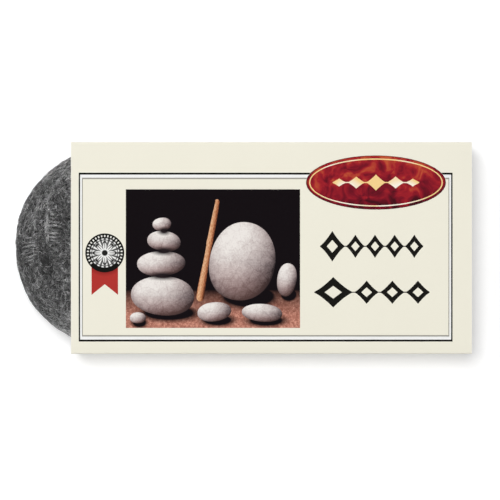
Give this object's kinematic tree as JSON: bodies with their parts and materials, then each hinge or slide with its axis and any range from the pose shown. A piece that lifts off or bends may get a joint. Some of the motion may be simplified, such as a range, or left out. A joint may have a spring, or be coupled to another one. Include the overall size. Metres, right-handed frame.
{
  "type": "steel wool pad in a card sleeve",
  "caption": "Flat wound pad of fine steel wool with round ends, pushed part of the way out of an open-ended printed card sleeve.",
  "frame": {"origin": "middle of the sleeve's back panel, on its outer face, which the part lies on", "axes": "+X along the sleeve towards its right end, away from the end that the wool shows at; +Y towards the top of the print; +Z out of the printed front panel, up"},
  "size_m": [0.2288, 0.1058, 0.0408],
  "materials": {
    "steel_wool": "fine matted fibre, dark grey",
    "cream_card": "smooth cream card, faint satin",
    "ink_black": "black print on card",
    "ink_white": "white print on card",
    "ink_grey": "grey print on card",
    "ink_silver": "pale grey print on card",
    "ink_red": "red print on card",
    "ink_maroon": "deep red print on card",
    "ink_cream": "cream and gold print on card",
    "ink_night": "near-black print on card",
    "ink_rust": "rust print on card",
    "ink_stone": "pale stone-grey print on card",
    "ink_wood": "wood-coloured print on card"
  },
  "bodies": {
    "root": {"steel_wool_pad": "steel_wool", "card_sleeve": "cream_card", "print_frame_line": "ink_black", "print_frame_band": "ink_white", "print_frame_hairline": "ink_grey", "print_seal_ring": "ink_black", "print_seal_disc": "ink_silver", "print_seal_ribbon": "ink_red", "print_picture_dark": "ink_night", "print_picture_ground": "ink_rust", "print_pebble_1": "ink_stone", "print_pebble_2": "ink_stone", "print_pebble_3": "ink_stone", "print_pebble_4": "ink_stone", "print_pebble_5": "ink_stone", "print_pebble_6": "ink_stone", "print_pebble_7": "ink_stone", "print_pebble_8": "ink_stone", "print_pebble_9": "ink_stone", "print_stick": "ink_wood", "print_plaque": "ink_maroon", "print_plaque_line": "ink_cream", "print_plaque_ornament": "ink_cream", "print_title_row_1": "ink_black", "print_title_row_2": "ink_black"}
  },
  "joints": []
}
